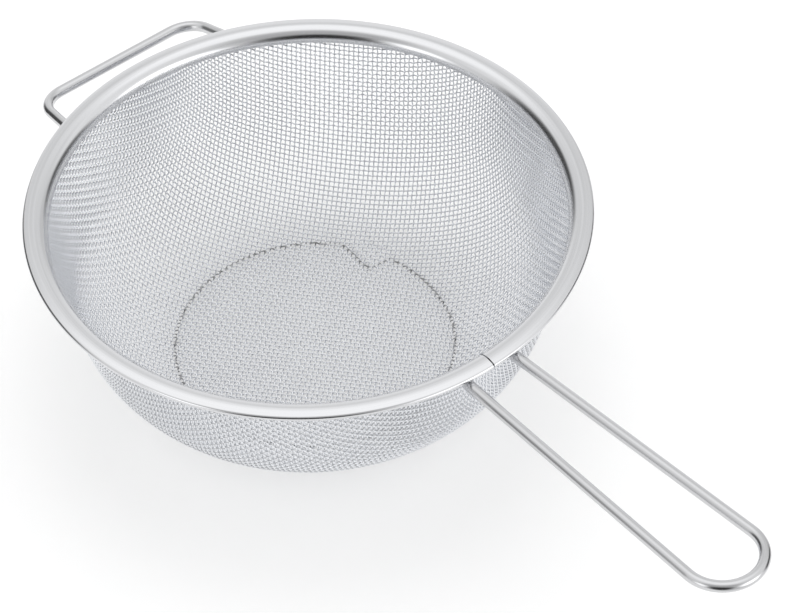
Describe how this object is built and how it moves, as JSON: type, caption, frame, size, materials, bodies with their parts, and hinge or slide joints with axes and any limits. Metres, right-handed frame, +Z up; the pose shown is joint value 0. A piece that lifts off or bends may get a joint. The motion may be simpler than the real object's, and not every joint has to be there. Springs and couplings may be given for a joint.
{
  "type": "fine mesh strainer",
  "caption": "Round wire-mesh kitchen strainer with a flat-based bowl, folded steel rim, wire hairpin handle and a wire loop that rests on a pot edge.",
  "frame": {"origin": "centre of the flat base, on its resting face", "axes": "+X out along the handle, +Z up through the bowl's mouth, +Y to the left of the handle"},
  "size_m": [0.3406, 0.2, 0.0733],
  "materials": {
    "cloth_steel": "woven stainless wire, satin",
    "rim_steel": "polished stainless strip with fine rolling lines",
    "wire_steel": "bright polished stainless wire",
    "weld_steel": "dull grey weld"
  },
  "bodies": {
    "root": {"mesh_bowl": "cloth_steel", "rim_band": "rim_steel", "handle_wire": "wire_steel", "rest_loop": "wire_steel", "handle_weld_left": "weld_steel", "handle_weld_right": "weld_steel", "rest_weld_left": "weld_steel", "rest_weld_right": "weld_steel"}
  },
  "joints": []
}
